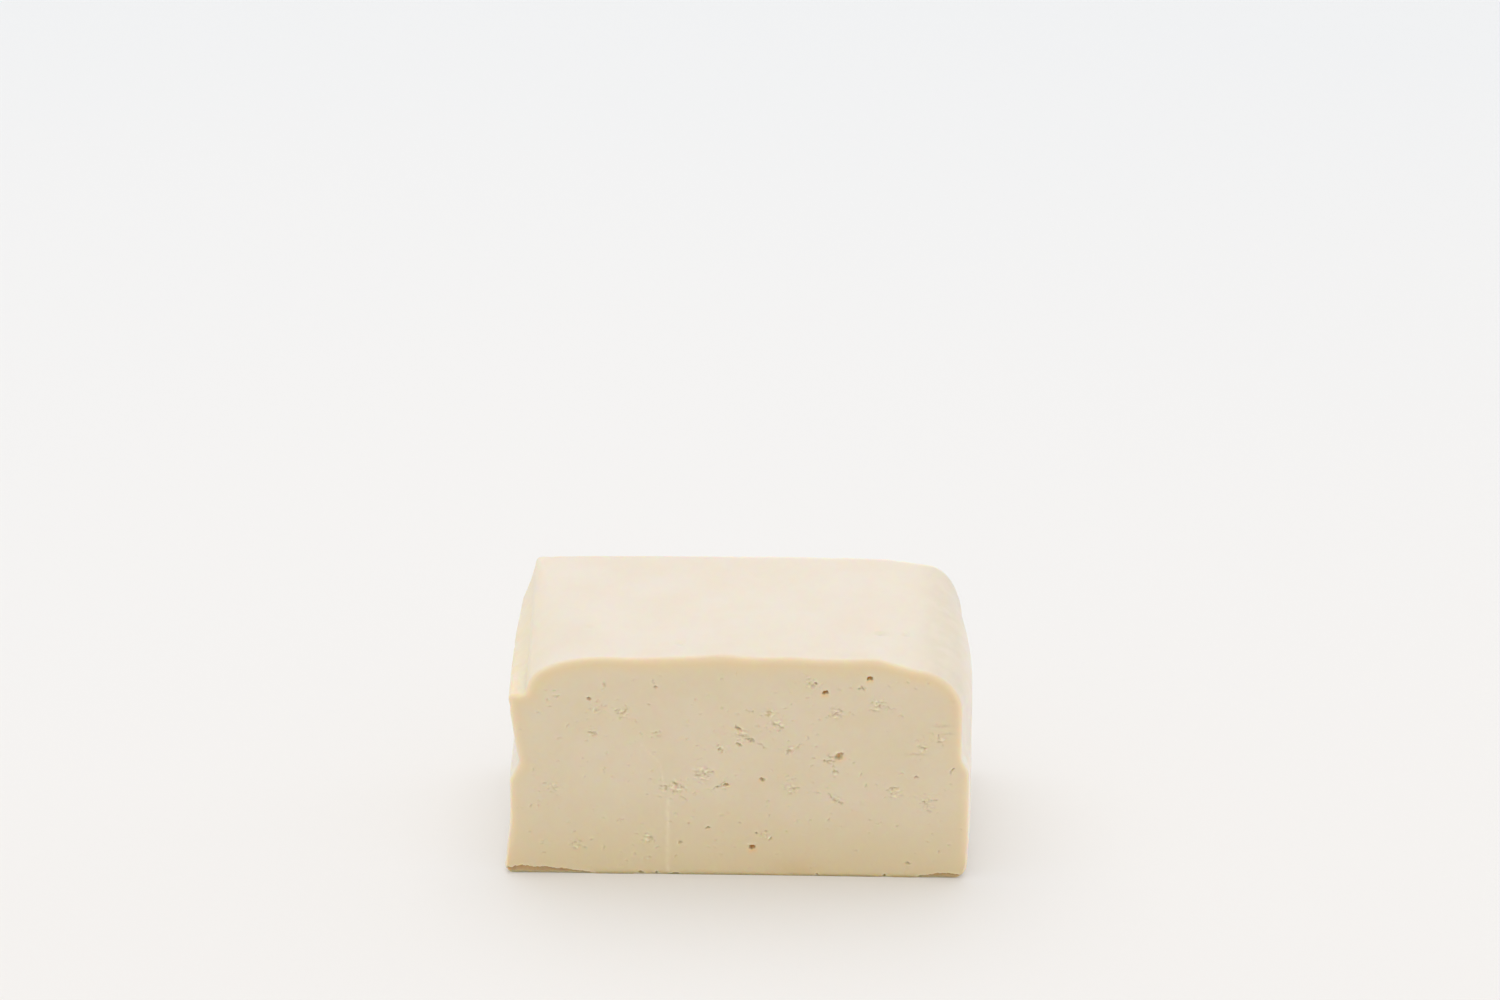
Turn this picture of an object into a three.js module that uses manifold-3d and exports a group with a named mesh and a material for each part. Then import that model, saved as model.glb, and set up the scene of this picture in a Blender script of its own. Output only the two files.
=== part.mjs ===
// Half of a plain block of tofu, cut straight across with a knife. Millimetres, +Z up.
// The cut face looks towards -Y and shows the pores of the curd. The other faces keep the
// skin of the mould: the top rolls over two soft shoulders, the wrapping film has pressed a
// crease and a narrow ledge into the left wall, and the far end is rounded.
// The origin is the middle of the base.
import * as THREE from "three";
import { mergeVertices } from "three/addons/utils/BufferGeometryUtils.js";
import Module from "manifold-3d";

const { lerp, clamp, smoothstep } = THREE.MathUtils;
const ease = (v) => smoothstep(v, 0, 1);

// Driving sizes. "Cut" is the value at the cut face, "end" the value at the moulded end.
const HEIGHT = 38.7;
const DEPTH = 42.4; // along the middle plane
const LEFT_WALL = { cut: 37.0, end: 37.9 }; // from the middle plane
const RIGHT_WALL = { cut: 38.05, end: 36.4 };
const END_SKEW = 0.022; // the right side runs back further than the left
const END_ROUND = 1.8; // radius of the edges round the moulded end

// The left wall flares to its foot, and a crease runs along it with a steep lower lip.
const FLARE = { cut: 0.88, end: 0.4, height: 10.5 };
const CREASE = { depth: 1.95, height: 19.5, below: 2.4, above: 8.2, endShare: 0.35 };
const LEFT_FOOT = { inset: 0.25, height: 1.3 };

// The ledge above it: its outer corner and its inner corner, where the shoulder starts.
const LEDGE = {
  outer: { cut: [-36.75, 31.6], end: [-37.7, 31.3] },
  inner: { cut: [-33.9, 31.8], end: [-35.9, 36.9] },
  dip: 0.25,
};

// Shoulders: how far each reaches over the top, and how far down its wall.
const LEFT_SHOULDER = { reach: { cut: 12.4, end: 2.4 }, bend: 1.85 };
const RIGHT_SHOULDER = {
  reach: { cut: 7.4, end: 6.0 },
  drop: { cut: 8.6, end: 10.2 }, // below the middle of the top
  bend: 1.9,
};

// Before the right shoulder the top already falls away.
const TOP_FALL = { from: 22.0, slope: { cut: 0.3, end: 0.13 }, ease: 1.5 };

// The cut has dragged the right wall in above its middle, and the foot below is rounded.
const DRAG = { inset: 1.6, from: 18.1, to: 21.5, reach: 0.22 };
const RIGHT_BELLY = { swell: 0.7, depth: 0.38 };
const RIGHT_FOOT = { inset: 1.3, height: 2.2 };
const RIGHT_TAPER = 0.15; // the wall leans in by this much down to the foot

// The top is slightly uneven where the knife went through: centre, half width and lift.
const TOP_SWELLS = [
  [-16.2, 5.0, -0.3],
  [-2.2, 3.2, 0.42],
  [8.3, 3.4, 0.2],
  [22.4, 3.2, 0.22],
];
const SWELL_REACH = 0.35;

// Points along each stretch of a ring, and the rings from the cut face to the far end.
const STEPS = { leftWall: 20, ledge: 2, leftShoulder: 9, top: 26, rightShoulder: 10, rightWall: 20 };
const RINGS = [0, 0.03, 0.07, 0.12, 0.18, 0.26, 0.35, 0.45, 0.55, 0.65, 0.74, 0.82, 0.89];
const ROUND_STEPS = 4;

// Where the knife dragged, the lower left edge has lifted off in a thin ragged wedge.
const UNDERCUT = { from: -38.6, to: -22.4, height: 0.85, depth: 3.2, steps: 17, ragged: 0.22 };

// Pores that the cut has opened: x and height on the face, width, height, depth and lean.
const PORES = [
  [21.68, 35.53, 1.0, 0.85, 1.3, 0],
  [20.5, 33.77, 1.5, 0.7, 0.5, -10],
  [14.47, 32.87, 1.15, 0.8, 1.3, -8],
  [12.6, 33.97, 1.9, 1.2, 0.45, 20],
  [22.6, 30.52, 3.0, 0.8, 0.55, -6],
  [15.6, 28.87, 2.4, 0.6, 0.5, 24],
  [16.75, 21.47, 1.5, 1.25, 1.5, 30],
  [14.7, 21.02, 1.5, 0.8, 0.7, 5],
  [15.9, 18.97, 0.45, 2.2, 0.45, 0],
  [2.69, 4.99, 1.2, 1.0, 1.4, 8],
  [4.31, 17.17, 1.1, 0.75, 1.2, -20],
  [0.35, 26.17, 1.9, 0.85, 1.1, -38],
  [0.9, 23.22, 1.0, 0.6, 1.0, -15],
  [3.3, 23.82, 2.6, 0.6, 0.8, -16],
  [-1.7, 16.17, 1.0, 0.65, 1.0, 55],
  [-2.9, 15.62, 2.2, 0.5, 0.6, 14],
  [-4.5, 18.17, 2.6, 0.8, 0.6, 10],
  [-2.43, 22.44, 1.1, 0.9, 0.8, 40],
  [-9.07, 5.77, 0.75, 0.95, 0.9, 0],
  [-9.2, 15.87, 3.0, 0.65, 0.5, -32],
  [-13.14, 33.77, 0.7, 0.9, 0.8, 15],
  [-18.2, 28.47, 2.4, 0.55, 0.6, -16],
  [-21.17, 33.57, 0.6, 0.9, 0.6, 35],
  [-22.75, 24.42, 1.6, 0.65, 0.8, -22],
  [-23.89, 31.01, 0.85, 0.75, 0.9, 0],
  [-28.6, 14.27, 1.5, 0.6, 0.6, -35],
  [6.1, 27.17, 0.6, 2.0, 0.7, 30],
  [7.4, 26.27, 1.6, 0.8, 0.6, 35],
  [10.3, 23.27, 2.2, 0.5, 0.5, 28],
  [9.5, 17.37, 1.1, 0.45, 0.5, 12],
  [9.6, 15.67, 1.9, 0.5, 0.5, 0],
  [17.0, 13.17, 1.0, 0.45, 0.9, -18],
  [15.6, 14.27, 1.9, 0.5, 0.5, -38],
  [25.4, 15.97, 2.1, 0.6, 0.6, 12],
  [26.9, 18.77, 1.0, 0.5, 0.6, 5],
  [29.3, 18.12, 0.9, 0.45, 0.8, 8],
  [30.1, 23.47, 1.5, 0.6, 0.7, -25],
  [33.0, 25.27, 0.7, 1.2, 0.6, 0],
  [35.2, 19.37, 1.5, 0.5, 0.8, 36],
  [31.6, 13.87, 2.6, 0.45, 0.6, 12],
];
const PORE_ROUGHNESS = 0.28; // share of its radius by which a pore's wall is uneven

// Shapes that differ from pore to pore come from one seeded sequence.
const SEED = 7;

function randomFrom(seed) {
  let state = seed;
  return () => {
    state = (state + 0x6d2b79f5) | 0;
    let mixed = Math.imul(state ^ (state >>> 15), 1 | state);
    mixed = (mixed + Math.imul(mixed ^ (mixed >>> 7), 61 | mixed)) ^ mixed;
    return ((mixed ^ (mixed >>> 14)) >>> 0) / 4294967296;
  };
}

const between = (pair, t) => lerp(pair.cut, pair.end, t);
const betweenPoints = (pair, t) => pair.cut.map((v, axis) => lerp(v, pair.end[axis], t));

// 1 at the peak, falling straight to 0 over the given distance on each side.
function tent(offset, below, above) {
  return Math.max(0, offset < 0 ? 1 + offset / below : 1 - offset / above);
}

// How far a foot is rounded in at height z.
function footInset(foot, z) {
  return foot.inset * Math.max(0, 1 - z / foot.height) ** 2;
}

function leftWallAt(z, t) {
  const flare = between(FLARE, t) * ease(1 - z / FLARE.height);
  const share = lerp(1, CREASE.endShare, t);
  const crease = CREASE.depth * share * tent(z - CREASE.height, CREASE.below, CREASE.above);
  return -(between(LEFT_WALL, t) + flare - crease - footInset(LEFT_FOOT, z));
}

function rightWallAt(z, t) {
  const drag = DRAG.inset * smoothstep(z, DRAG.from, DRAG.to) * (1 - smoothstep(t, 0, DRAG.reach));
  const belly = RIGHT_BELLY.swell * Math.sin(Math.PI * clamp(t / (2 * RIGHT_BELLY.depth), 0, 1));
  const taper = RIGHT_TAPER * ease(1 - z / FLARE.height);
  return between(RIGHT_WALL, t) + belly - drag - taper - footInset(RIGHT_FOOT, z);
}

function topAt(x, t) {
  const fade = 1 - smoothstep(t, 0, SWELL_REACH);
  const lift = TOP_SWELLS.reduce((sum, [centre, width, height]) => {
    return sum + height * Math.exp(-(((x - centre) / width) ** 2));
  }, 0);
  const past = Math.max(0, x - TOP_FALL.from);
  const fall = (between(TOP_FALL.slope, t) * past * past) / (past + TOP_FALL.ease);
  return HEIGHT + lift * fade - fall;
}

// Calls point(share) for shares from 0 up to, but not including, 1.
function stretch(steps, point) {
  return Array.from({ length: steps }, (_, i) => point(i / steps));
}

// A quarter of a superellipse from (0, 0), upright, to (reach, drop), level.
function shoulder(share, reach, drop, bend) {
  const angle = (share * Math.PI) / 2;
  return [reach * (1 - Math.cos(angle) ** (2 / bend)), drop * Math.sin(angle) ** (2 / bend)];
}

// The section at depth t, 0 at the cut and 1 at the far end, clockwise from the left foot.
function ringAt(t) {
  const outer = betweenPoints(LEDGE.outer, t);
  const inner = betweenPoints(LEDGE.inner, t);
  const leftEnd = inner[0] + between(LEFT_SHOULDER.reach, ease(t));
  const wallTop = HEIGHT - between(RIGHT_SHOULDER.drop, t);
  const rightEdge = rightWallAt(wallTop, t);
  const reach = between(RIGHT_SHOULDER.reach, t);
  const rightEnd = rightEdge - reach;
  return [
    ...stretch(STEPS.leftWall, (s) => [leftWallAt(s * outer[1], t), s * outer[1]]),
    ...stretch(STEPS.ledge, (s) => [
      lerp(outer[0], inner[0], s),
      lerp(outer[1], inner[1], s) - LEDGE.dip * Math.sin(Math.PI * s),
    ]),
    ...stretch(STEPS.leftShoulder, (s) => {
      const rise = topAt(leftEnd, t) - inner[1];
      const [x, z] = shoulder(s, leftEnd - inner[0], rise, LEFT_SHOULDER.bend);
      return [inner[0] + x, inner[1] + z];
    }),
    ...stretch(STEPS.top, (s) => {
      const x = lerp(leftEnd, rightEnd, s);
      return [x, topAt(x, t)];
    }),
    ...stretch(STEPS.rightShoulder, (s) => {
      const [x, z] = shoulder(1 - s, reach, topAt(rightEnd, t) - wallTop, RIGHT_SHOULDER.bend);
      return [rightEdge - x, wallTop + z];
    }),
    ...stretch(STEPS.rightWall, (s) => {
      const z = wallTop * (1 - s);
      return [rightWallAt(z, t), z];
    }),
    [rightWallAt(0, t), 0],
  ];
}

// Sets a ring of [x, z] at depth t, pulled in by "inset" from every side.
function placed(ring, t, inset) {
  const widthShare = 1 - inset / LEFT_WALL.cut;
  const heightShare = 1 - inset / (HEIGHT / 2);
  return ring.map(([x, z]) => {
    const back = t * (DEPTH + END_SKEW * x);
    return new THREE.Vector3(x * widthShare, back, lerp(HEIGHT / 2, z, heightShare));
  });
}

function rings() {
  const list = RINGS.map((t) => placed(ringAt(t), t, 0));
  for (let i = 0; i <= ROUND_STEPS; i += 1) {
    const angle = ((i / ROUND_STEPS) * Math.PI) / 2;
    const t = 1 - (END_ROUND / DEPTH) * (1 - Math.sin(angle));
    list.push(placed(ringAt(t), t, END_ROUND * (1 - Math.cos(angle))));
  }
  return list;
}

// The closed skin: bands between the rings, with a flat cap on the first and the last.
function blockGeometry() {
  const list = rings();
  const count = list[0].length;
  const corners = list.flat();
  const faces = [];
  for (let r = 0; r + 1 < list.length; r += 1) {
    for (let i = 0; i < count; i += 1) {
      const a = r * count + i;
      const b = r * count + ((i + 1) % count);
      faces.push(a, b, a + count, b, b + count, a + count);
    }
  }
  [0, list.length - 1].forEach((r) => {
    const middle = corners.push(new THREE.Vector3(0, list[r][0].y, HEIGHT / 2)) - 1;
    for (let i = 0; i < count; i += 1) {
      const pair = [r * count + i, r * count + ((i + 1) % count)];
      faces.push(middle, ...(r === 0 ? pair.reverse() : pair));
    }
  });
  const geometry = new THREE.BufferGeometry().setFromPoints(corners);
  geometry.setIndex(faces);
  return geometry;
}

// A pore is a lump with an uneven wall, half of it in front of the cut face.
function poreGeometry([x, z, width, height, depth, lean], random) {
  const lump = new THREE.IcosahedronGeometry(1, 1);
  lump.deleteAttribute("normal");
  lump.deleteAttribute("uv");
  const geometry = mergeVertices(lump);
  const place = geometry.getAttribute("position");
  const point = new THREE.Vector3();
  for (let i = 0; i < place.count; i += 1) {
    point.fromBufferAttribute(place, i);
    point.multiplyScalar(1 + PORE_ROUGHNESS * (2 * random() - 1));
    place.setXYZ(i, point.x, point.y, point.z);
  }
  geometry.scale(width / 2, depth, height / 2);
  geometry.rotateY(THREE.MathUtils.degToRad(-lean));
  geometry.translate(x, 0, z);
  return geometry;
}

// The wedge of air under the lifted edge: ragged on top, thinning out to the right.
function undercutGeometry(random) {
  const { from, to, height, depth, steps, ragged } = UNDERCUT;
  const outline = new THREE.Shape();
  outline.moveTo(to, -1);
  outline.lineTo(from, -1);
  for (let i = 0; i <= steps; i += 1) {
    const share = i / steps;
    const rise = height * Math.sqrt(1 - share) * (1 + ragged * (2 * random() - 1));
    outline.lineTo(lerp(from, to, share), Math.max(0, rise));
  }
  outline.closePath();
  const geometry = new THREE.ExtrudeGeometry(outline, { depth: 2 * depth, bevelEnabled: false });
  geometry.rotateX(Math.PI / 2);
  geometry.translate(0, depth, 0);
  return geometry;
}

const wasm = await Module();
wasm.setup();

function solidOf(geometry) {
  geometry.deleteAttribute("normal");
  geometry.deleteAttribute("uv");
  const merged = mergeVertices(geometry);
  return new wasm.Manifold(
    new wasm.Mesh({
      numProp: 3,
      vertProperties: merged.getAttribute("position").array,
      triVerts: new Uint32Array(merged.getIndex().array),
    }),
  );
}

function geometryOf(solid) {
  const { vertProperties, triVerts } = solid.getMesh();
  const geometry = new THREE.BufferGeometry();
  geometry.setAttribute("position", new THREE.BufferAttribute(vertProperties, 3));
  geometry.setIndex(new THREE.BufferAttribute(triVerts, 1));
  return geometry;
}

function tofuBlock() {
  const random = randomFrom(SEED);
  let solid = solidOf(blockGeometry()).subtract(solidOf(undercutGeometry(random)));
  PORES.forEach((pore) => {
    solid = solid.subtract(solidOf(poreGeometry(pore, random)));
  });
  const geometry = geometryOf(solid);
  geometry.computeBoundingBox();
  const { min, max } = geometry.boundingBox;
  geometry.translate(-(min.x + max.x) / 2, -(min.y + max.y) / 2, -min.z);
  geometry.computeVertexNormals();
  const curd = new THREE.MeshStandardMaterial({ color: 0xe6d9bf, roughness: 0.55, metalness: 0 });
  const mesh = new THREE.Mesh(geometry, curd);
  mesh.name = "tofu_block";
  return mesh;
}

const tofu = new THREE.Group();
tofu.add(tofuBlock());

export default tofu;
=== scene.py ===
import math

import bpy
import numpy as np
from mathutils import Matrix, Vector, noise
from mathutils.geometry import delaunay_2d_cdt


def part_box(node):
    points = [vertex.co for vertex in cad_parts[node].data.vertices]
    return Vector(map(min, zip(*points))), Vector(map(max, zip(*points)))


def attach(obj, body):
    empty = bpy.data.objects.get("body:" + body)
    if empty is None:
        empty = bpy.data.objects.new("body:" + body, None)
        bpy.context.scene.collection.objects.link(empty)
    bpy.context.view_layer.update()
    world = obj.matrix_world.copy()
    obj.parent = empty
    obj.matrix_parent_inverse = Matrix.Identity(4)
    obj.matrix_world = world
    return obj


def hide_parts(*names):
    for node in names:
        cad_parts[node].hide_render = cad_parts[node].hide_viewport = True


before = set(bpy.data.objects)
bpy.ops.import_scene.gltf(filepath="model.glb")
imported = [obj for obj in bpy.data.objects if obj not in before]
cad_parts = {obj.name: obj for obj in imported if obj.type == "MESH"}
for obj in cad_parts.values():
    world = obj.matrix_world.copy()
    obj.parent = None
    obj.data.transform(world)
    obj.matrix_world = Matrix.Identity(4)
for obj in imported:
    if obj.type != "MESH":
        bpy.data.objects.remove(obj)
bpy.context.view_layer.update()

NODE = "tofu_block"
MM = 0.001

# ---------------- sizes of the block
# A pair holds the value at the cut face and the value at the moulded end.
HEIGHT = 38.7
DEPTH = 42.4
LEFT_WALL = (36.9, 37.9)
LEFT_SWELL = 0.3  # how far the left wall stands out halfway back
RIGHT_WALL = (37.95, 36.25)
END_SKEW = 0.022
END_CROWN = 0.95  # how far the moulded end stands out in its middle
END_ROUND = 0.8  # radius of the moulded end's edges
FLARE = (0.98, 0.4)  # how far the left wall's foot stands out
FLARE_HEIGHT = 10.5
CREASE_DEPTH = 1.65
CREASE_HEIGHT = 19.1
CREASE_BELOW = 2.4  # how far the crease runs out below its deepest line
CREASE_ABOVE = 11.5
CREASE_END_SHARE = 0.35  # the share of its depth that is left at the moulded end
LEFT_FOOT = {"inset": 0.25, "height": 1.3}
LEDGE_OUTER = (np.array([-36.5, 31.6]), np.array([-37.7, 31.3]))
LEDGE_INNER = (np.array([-33.9, 31.8]), np.array([-35.5, 37.4]))
LEDGE_DIP = 0.25
LEFT_REACH = (14.0, 1.1)  # how far across the left shoulder runs
LEFT_BEND = 2.25  # a shoulder's power: 2 is an ellipse, and more is squarer
RIGHT_REACH = (7.4, 6.0)
RIGHT_DROP = (8.6, 10.2)  # how far below the top the right shoulder meets its wall
RIGHT_BEND = 1.9
FALL_FROM = 22.2  # the x from which the top falls away to the right
FALL_SLOPE = (0.28, 0.13)
FALL_EASE = 1.5
DRAG = {"inset": 1.25, "low": 18.8, "high": 21.4, "reach": 0.22}  # the notch the knife dragged
BELLY_SWELL = 0.87  # how far the right wall stands out, and at which depth share
BELLY_DEPTH = 0.43
RIGHT_FOOT = {"inset": 1.3, "height": 2.2}
RIGHT_TAPER = 0.15
TOE = {"out": 1.2, "height": 14.0, "reach": 9.0}  # how far the left foot of the cut leans out
# Swells of the top at the cut, as rows of x, width and height; they fade at this depth share.
TOP_SWELLS = [(-16.2, 5.0, -0.3), (-2.2, 3.2, 0.42), (8.3, 3.4, 0.2), (22.4, 3.2, 0.22)]
SWELL_REACH = 0.35

# Where the knife left the foot ragged, its edge has broken off: a long thin wedge at the left
# and a shorter one at the right, as pairs of x and height. Between them are a few nicks, as
# rows of x, half width and height.
BROKEN_EDGE = [
    (-38.6, 0.75), (-37.4, 0.9), (-36.4, 1.2), (-34.5, 1.2), (-31.0, 1.05), (-28.3, 0.78),
    (-25.9, 0.45), (-23.4, 0.2), (-22.0, 0.0), (29.0, 0.0), (30.2, 0.42), (33.0, 0.72),
    (34.6, 0.85), (36.4, 0.7), (37.8, 0.2),
]
NICKS = [
    (-15.5, 0.5, 0.5), (-13.0, 0.4, 0.4), (-9.9, 0.9, 0.3), (13.3, 0.4, 0.45), (24.3, 0.35, 0.6),
]
RAGGED = ((1.7, 0.2), (0.5, 0.22))  # coarse and fine unevenness: feature size, share of height
BROKEN_LEAST = (0.06, 0.2)  # the heights of the edge between which the break sets in
BROKEN_SOFT = 0.05  # half the thickness of the edge itself
BROKEN_BACK = 0.9  # how far behind the cut the broken foot lies, just under its ragged edge
BROKEN_FULL = 0.9  # the height of the broken edge from which it lies as far back as that
BROKEN_LOW = 0.3  # the share of that where the edge is low
BROKEN_FLOOR = 0.25  # the share of that which is left at the table
BROKEN_REACH = 2.6  # how far behind the cut the break runs out
BROKEN_SIDE = {"inset": 0.2, "from": -34.0, "run": 4.0, "reach": 6.0}
BROKEN_LIP = {"above": 0.12, "thickness": 0.13}
UNDERSIDE_TURNS = (28.5, -21.5)  # the x between which the underside needs few points

# ---------------- fineness of the mesh
RING_STEPS = {
    "left_wall": 80,
    "ledge": 12,
    "left_shoulder": 34,
    "top": 108,
    "right_shoulder": 30,
    "right_wall": 76,
    "right_foot": 16,
    "underside": 24,
    "left_foot": 32,
}
SMOOTHING_PASSES = 4
EDGE_ROUND = 0.5  # radius along the cut edge
EDGE_LOW = (0.3, 1.6)  # the heights between which that edge turns sharp towards the table
EDGE_STEPS = 5
END_STEPS = 6
RING_GAP = 0.62
FACE_GAP = 0.12  # the finest points of the cut face; the coarsest are four times that
FACE_GRADE = 0.3  # how fast the points spread away from a pore
FACE_AROUND = 1.6  # how far around a mark the points are finer than elsewhere
FACE_FOOT = {"least": 0.08, "above": 0.4}  # and at the broken edge
FACE_SHIFT = {"most": 0.22, "seed": 5}  # how far the points lie out of line
FACE_CLEAR = 1.4  # how many gaps the points stay away from the rim
END_GAP = 0.6
SAME = 1e-7  # points closer than this would be one
SEED_STEP = 31.7  # how far apart two seeds read the noise
NOISE_STEPS = (0.9, 2.0)  # how its octaves weaken, and how many times finer each one is


def lerp(a, b, share):
    return a + (b - a) * share


def smoothstep(value, low, high):
    share = np.clip((value - low) / (high - low), 0.0, 1.0)
    return share * share * (3.0 - 2.0 * share)


def ease(value):
    return smoothstep(value, 0.0, 1.0)


def bell(offset, width):
    return np.exp(-((offset / width) ** 2))


def ripple(points, size, seed, octaves=1):
    """Smooth noise, about -1 to 1, with features about `size` millimetres long."""
    places = (np.asarray(points) / size + SEED_STEP * seed).tolist()
    if octaves == 1:
        return np.array([noise.noise(p) for p in places])
    return np.array([noise.fractal(p, *NOISE_STEPS, octaves) for p in places])


# ---------------- sections
def foot_inset(foot, z):
    return foot["inset"] * np.maximum(0.0, 1.0 - z / foot["height"]) ** 2


def left_wall(z, t):
    flare = lerp(*FLARE, t) * ease(1.0 - z / FLARE_HEIGHT)
    offset = z - CREASE_HEIGHT
    tent = np.where(offset < 0, 1.0 + offset / CREASE_BELOW, 1.0 - offset / CREASE_ABOVE)
    crease = CREASE_DEPTH * lerp(1.0, CREASE_END_SHARE, t) * np.maximum(0.0, tent)
    swell = LEFT_SWELL * np.sin(np.pi * t)
    return -(lerp(*LEFT_WALL, t) + flare + swell - crease - foot_inset(LEFT_FOOT, z))


def right_wall(z, t):
    drag = smoothstep(z, DRAG["low"], DRAG["high"]) * (1.0 - smoothstep(t, 0.0, DRAG["reach"]))
    belly = BELLY_SWELL * np.sin(np.pi * np.clip(t / (2.0 * BELLY_DEPTH), 0.0, 1.0))
    taper = RIGHT_TAPER * ease(1.0 - z / FLARE_HEIGHT)
    inset = DRAG["inset"] * drag + taper + foot_inset(RIGHT_FOOT, z)
    return lerp(*RIGHT_WALL, t) + belly - inset


def top(x, t):
    fade = 1.0 - smoothstep(t, 0.0, SWELL_REACH)
    lift = sum(height * bell(x - centre, width) for centre, width, height in TOP_SWELLS)
    past = np.maximum(0.0, x - FALL_FROM)
    fall = lerp(*FALL_SLOPE, t) * past * past / (past + FALL_EASE)
    return HEIGHT + lift * fade - fall


def shares(name):
    return np.arange(RING_STEPS[name]) / RING_STEPS[name]


def shoulder(share, reach, drop, bend):
    """A quarter of a superellipse from (0, 0), upright, to (reach, drop), level."""
    angle = share * np.pi / 2.0
    across = reach * (1.0 - np.cos(angle) ** (2.0 / bend))
    return np.stack([across, drop * np.sin(angle) ** (2.0 / bend)], axis=1)


def section(t):
    """The outline at depth share t, clockwise from the left foot as seen from the front."""
    outer = lerp(*LEDGE_OUTER, t) - [LEFT_SWELL * math.sin(math.pi * t), 0.0]
    inner = lerp(*LEDGE_INNER, t)
    left_end = inner[0] + lerp(*LEFT_REACH, ease(t))
    wall_top = HEIGHT - lerp(*RIGHT_DROP, t)
    right_edge = right_wall(wall_top, t)
    reach = lerp(*RIGHT_REACH, t)
    right_end = right_edge - reach

    rise = shares("left_wall") * outer[1]
    left = np.stack([left_wall(rise, t), rise], axis=1)

    along = shares("ledge")[:, None]
    ledge = lerp(outer, inner, along)
    ledge[:, 1] -= LEDGE_DIP * np.sin(np.pi * along[:, 0])

    rise = top(left_end, t) - inner[1]
    left_round = inner + shoulder(shares("left_shoulder"), left_end - inner[0], rise, LEFT_BEND)

    across = lerp(left_end, right_end, shares("top"))
    flat = np.stack([across, top(across, t)], axis=1)

    drop = top(right_end, t) - wall_top
    turned = shoulder(1.0 - shares("right_shoulder"), reach, drop, RIGHT_BEND)
    right_round = np.array([right_edge, wall_top]) + turned * [-1.0, 1.0]

    fall = wall_top * (1.0 - shares("right_wall"))
    right = np.stack([right_wall(fall, t), fall], axis=1)

    feet = [float(right_wall(0.0, t)), *UNDERSIDE_TURNS, float(left_wall(0.0, t))]
    stretches = zip(feet, feet[1:], ("right_foot", "underside", "left_foot"))
    under = np.concatenate([lerp(start, end, shares(name)) for start, end, name in stretches])
    base = np.stack([under, np.zeros_like(under)], axis=1)
    return np.concatenate([left, ledge, left_round, flat, right_round, right, base])


def smoothed(ring):
    for _ in range(SMOOTHING_PASSES):
        ring = (np.roll(ring, 1, axis=0) + 2.0 * ring + np.roll(ring, -1, axis=0)) / 4.0
    return ring


def outward(ring):
    """The outward normal of a section at each of its points."""
    along = np.roll(ring, -1, axis=0) - np.roll(ring, 1, axis=0)
    normal = np.stack([-along[:, 1], along[:, 0]], axis=1)
    return normal / np.linalg.norm(normal, axis=1)[:, None]


def end_back(x):
    """How far back the moulded end lies at each x."""
    return DEPTH + END_SKEW * x - END_CROWN * (x / LEFT_WALL[0]) ** 2


def placed(ring, t, inset=0.0):
    """A section as points in space, drawn in towards its middle where the far end rounds off."""
    x = ring[:, 0] * (1.0 - inset / LEFT_WALL[0])
    z = lerp(HEIGHT / 2.0, ring[:, 1], 1.0 - inset / (HEIGHT / 2.0))
    return np.stack([x, t * end_back(ring[:, 0]), z], axis=1)


def cut_edge_rings():
    """From the rim of the cut face round its small edge radius to the walls."""
    rings = []
    for angle in np.linspace(0.0, np.pi / 2.0, EDGE_STEPS, endpoint=False):
        back = EDGE_ROUND * (1.0 - math.cos(angle))
        ring = smoothed(section(back / DEPTH))
        off_the_table = smoothstep(ring[:, 1], *EDGE_LOW)
        pull = EDGE_ROUND * (1.0 - math.sin(angle)) * off_the_table
        ring = ring - outward(ring) * pull[:, None]
        rings.append(np.stack([ring[:, 0], np.full(len(ring), back), ring[:, 1]], axis=1))
    return rings


def wall_rings():
    count = round((DEPTH - END_ROUND - EDGE_ROUND) / RING_GAP)
    backs = np.linspace(EDGE_ROUND, DEPTH - END_ROUND, count, endpoint=False)
    return [placed(smoothed(section(back / DEPTH)), back / DEPTH) for back in backs]


def end_rings():
    rings = []
    for angle in np.linspace(0.0, np.pi / 2.0, END_STEPS + 1):
        t = 1.0 - (END_ROUND / DEPTH) * (1.0 - math.sin(angle))
        rings.append(placed(smoothed(section(t)), t, END_ROUND * (1.0 - math.cos(angle))))
    return rings


def toe(points):
    """How far the soft foot of the cut leans out towards the front, most at the left."""
    x, y, z = points.T
    leftward = np.maximum(0.0, 0.5 - x / (2.0 * LEFT_WALL[0]))
    low = np.maximum(0.0, 1.0 - z / TOE["height"])
    return TOE["out"] * (leftward * low * np.maximum(0.0, 1.0 - y / TOE["reach"])) ** 2


def broken_height(x):
    """How high the broken edge reaches at each x along the foot of the cut face."""
    line = np.column_stack([x, np.zeros(len(x)), np.zeros(len(x))])
    ragged = 1.0
    for number, (size, share) in enumerate(RAGGED):
        ragged = ragged + share * ripple(line, size, 3 + number, 1 + number)
    height = np.interp(x, *np.transpose(BROKEN_EDGE))
    for place, half_width, nick in NICKS:
        height = height + nick * bell(x - place, half_width)
    return height * np.maximum(0.0, ragged)


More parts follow.
